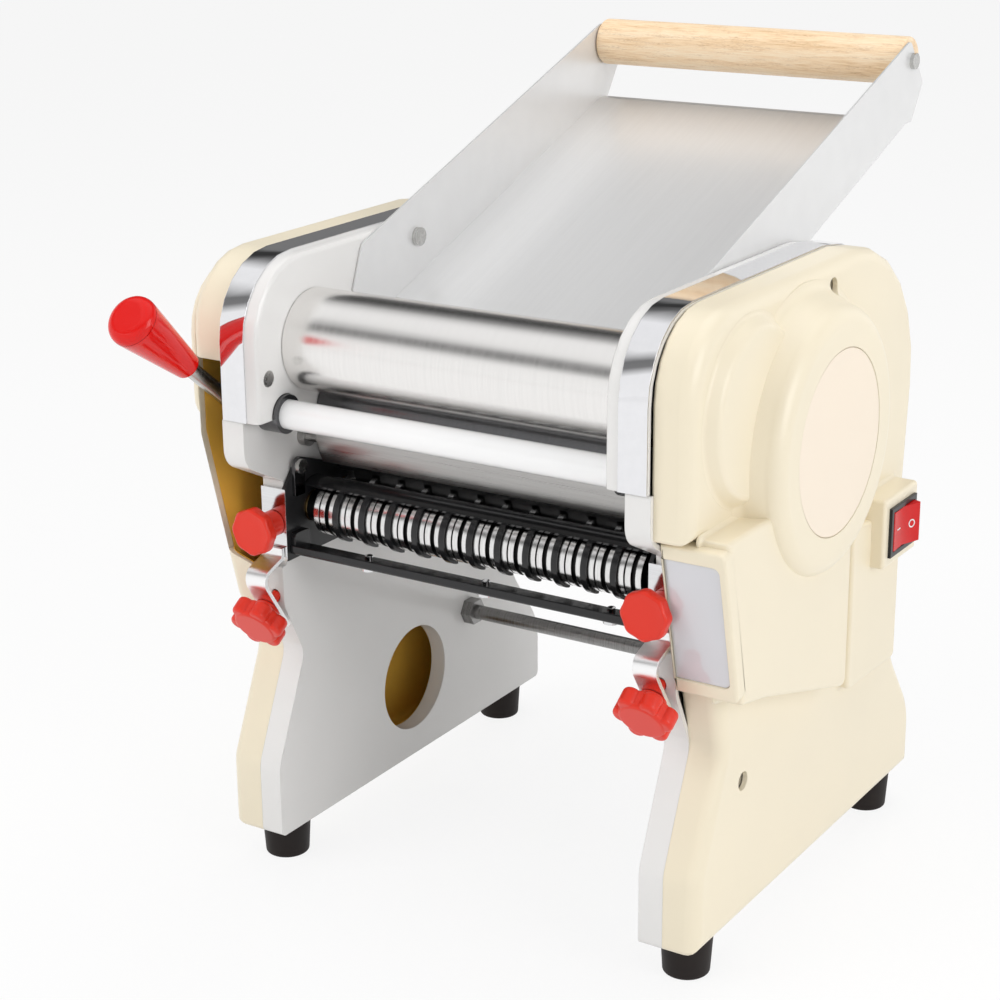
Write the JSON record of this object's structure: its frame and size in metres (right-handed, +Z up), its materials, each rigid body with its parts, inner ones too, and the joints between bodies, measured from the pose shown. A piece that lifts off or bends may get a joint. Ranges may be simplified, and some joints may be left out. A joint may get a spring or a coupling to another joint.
{
  "type": "electric pasta maker",
  "caption": "Free-standing electric pasta machine with adjustable press rollers, a noodle cutter, gear drive, rocker switch, sloping dough tray and a wooden roller handle.",
  "frame": {"origin": "centre of the footprint on the level the feet rest on", "axes": "+X from the lever side to the motor side, +Y from the front, where the dough leaves, to the tray at the back, +Z up"},
  "size_m": [0.2934, 0.3917, 0.4005],
  "materials": {
    "white_shell": "gloss white enamel-like plastic",
    "chrome_trim": "polished",
    "steel_plate": "matte rolled plate",
    "steel_parts": "turned, semi-bright",
    "steel_sheet": "satin",
    "polished_sheet": "polished",
    "roller_steel": "fine brushed, bright",
    "cutter_steel": "bright turned",
    "gear_steel": "oiled, machined",
    "cream_cover": "soft gloss",
    "pale_disc": "smooth",
    "grey_panel": "high gloss",
    "rubber": "matte",
    "bronze": "plain bearing bronze",
    "cast_block": "machined cast iron",
    "white_tube": "smooth",
    "black_plastic": "moulded",
    "red_plastic": "gloss",
    "red_rocker": "gloss",
    "handle_wood": "oiled beech, fine grain",
    "motor_body": "cast and turned"
  },
  "bodies": {
    "frame": {"left_stand_panel": "white_shell", "right_stand_panel": "white_shell", "left_head_casing": "white_shell", "right_head_casing": "white_shell", "chrome_trims": "chrome_trim", "left_bearing_plate": "steel_plate", "right_bearing_plate": "steel_plate", "left_side_cover": "cream_cover", "motor_cover": "cream_cover", "boss_disc": "pale_disc", "front_box_frame": "cream_cover", "front_box_panel": "grey_panel", "cover_screws": "steel_parts", "rubber_feet": "rubber", "tie_rods": "steel_parts", "tie_rod_nuts": "steel_parts", "rear_cover": "steel_sheet", "motor_guard": "steel_sheet", "cord_gland": "black_plastic", "front_roller_bushes": "bronze", "guard_tube": "white_tube", "guard_tube_bushes": "steel_parts", "front_scraper": "polished_sheet", "rear_scraper": "polished_sheet", "front_comb": "black_plastic", "rear_comb": "black_plastic", "cutter_side_plates": "black_plastic", "cutter_bushes": "bronze", "cutter_cross_bar": "black_plastic", "cutter_fixings": "steel_parts", "gear_studs": "steel_parts", "motor": "motor_body", "motor_bracket": "steel_plate", "clamp_clips": "chrome_trim", "chute_tray": "steel_sheet", "chute_screws": "steel_parts", "switch_bezel": "black_plastic"},
    "front_roller": {"front_press_roller": "roller_steel", "front_timing_gear": "gear_steel", "roller_drive_gear": "gear_steel"},
    "carriage": {"bearing_blocks": "cast_block", "rear_roller_bushes": "bronze"},
    "rear_roller": {"rear_press_roller": "roller_steel", "rear_timing_gear": "gear_steel"},
    "lever": {"adjusting_shaft": "steel_parts", "adjusting_lever": "steel_parts", "lever_grip": "red_plastic"},
    "intermediate": {"intermediate_gear": "gear_steel"},
    "motor_shaft": {"motor_pinion": "gear_steel"},
    "idler": {"cutter_idler": "gear_steel"},
    "front_cutter": {"front_cutter_roller": "cutter_steel", "front_cutter_gear": "gear_steel"},
    "rear_cutter": {"rear_cutter_roller": "cutter_steel", "rear_cutter_gear": "gear_steel"},
    "upper_left_screw": {"upper_left_knob": "red_plastic"},
    "upper_right_screw": {"upper_right_knob": "red_plastic"},
    "lower_left_screw": {"lower_left_knob": "red_plastic"},
    "lower_right_screw": {"lower_right_knob": "red_plastic"},
    "handle": {"wooden_handle": "handle_wood"},
    "rocker": {"switch_rocker": "red_rocker"}
  },
  "joints": [
    {"name": "front_roller_spin", "type": "hinge", "parent": "frame", "child": "front_roller", "pos_m": [0, -0.09787, 0.276], "axis": [1, 0, 0], "continuous": true},
    {"name": "gap_slide", "type": "slide", "parent": "frame", "child": "carriage", "axis": [0, 0.7071, -0.7071], "range_m": [0, 0.004]},
    {"name": "rear_roller_spin", "type": "hinge", "parent": "carriage", "child": "rear_roller", "pos_m": [0, -0.06195, 0.24008], "axis": [1, 0, 0], "continuous": true},
    {"name": "gap_lever", "type": "hinge", "parent": "frame", "child": "lever", "pos_m": [0, -0.03649, 0.21462], "axis": [1, 0, 0], "range_deg": [0, 45]},
    {"name": "intermediate_spin", "type": "hinge", "parent": "frame", "child": "intermediate", "pos_m": [0, -0.03001, 0.24407], "axis": [1, 0, 0], "continuous": true},
    {"name": "motor_spin", "type": "hinge", "parent": "frame", "child": "motor_shaft", "pos_m": [0, 0.02369, 0.21307], "axis": [1, 0, 0], "continuous": true},
    {"name": "idler_spin", "type": "hinge", "parent": "frame", "child": "idler", "pos_m": [0, -0.09749, 0.221], "axis": [1, 0, 0], "continuous": true},
    {"name": "front_cutter_spin", "type": "hinge", "parent": "frame", "child": "front_cutter", "pos_m": [0, -0.09184, 0.18899], "axis": [1, 0, 0], "continuous": true},
    {"name": "rear_cutter_spin", "type": "hinge", "parent": "frame", "child": "rear_cutter", "pos_m": [0, -0.06684, 0.18899], "axis": [1, 0, 0], "continuous": true},
    {"name": "upper_left_knob_turn", "type": "hinge", "parent": "frame", "child": "upper_left_screw", "pos_m": [-0.1138, -0.12987, 0.185], "axis": [0, -1, 0], "continuous": true},
    {"name": "upper_right_knob_turn", "type": "hinge", "parent": "frame", "child": "upper_right_screw", "pos_m": [0.1022, -0.12987, 0.185], "axis": [0, -1, 0], "continuous": true},
    {"name": "lower_left_knob_turn", "type": "hinge", "parent": "frame", "child": "lower_left_screw", "pos_m": [-0.1138, -0.12137, 0.1435], "axis": [0, -0.8387, -0.5446], "continuous": true},
    {"name": "lower_right_knob_turn", "type": "hinge", "parent": "frame", "child": "lower_right_screw", "pos_m": [0.1022, -0.12137, 0.1435], "axis": [0, -0.8387, -0.5446], "continuous": true},
    {"name": "handle_spin", "type": "hinge", "parent": "frame", "child": "handle", "pos_m": [0, 0.18115, 0.38795], "axis": [1, 0, 0], "continuous": true},
    {"name": "switch_rock", "type": "hinge", "parent": "frame", "child": "rocker", "pos_m": [0.1392, 0.06367, 0.176], "axis": [0, 0, 1], "range_deg": [0, 18]}
  ],
  "couplings": [
    {"joint": "rear_roller_spin", "follows": "front_roller_spin", "ratio": -1},
    {"joint": "intermediate_spin", "follows": "front_roller_spin", "ratio": -0.875},
    {"joint": "motor_spin", "follows": "front_roller_spin", "ratio": 3.6458},
    {"joint": "idler_spin", "follows": "front_roller_spin", "ratio": -1.75},
    {"joint": "front_cutter_spin", "follows": "front_roller_spin", "ratio": 2.8},
    {"joint": "rear_cutter_spin", "follows": "front_roller_spin", "ratio": -2.8},
    {"joint": "gap_slide", "follows": "gap_lever", "m_per_rad": 0.005093}
  ]
}
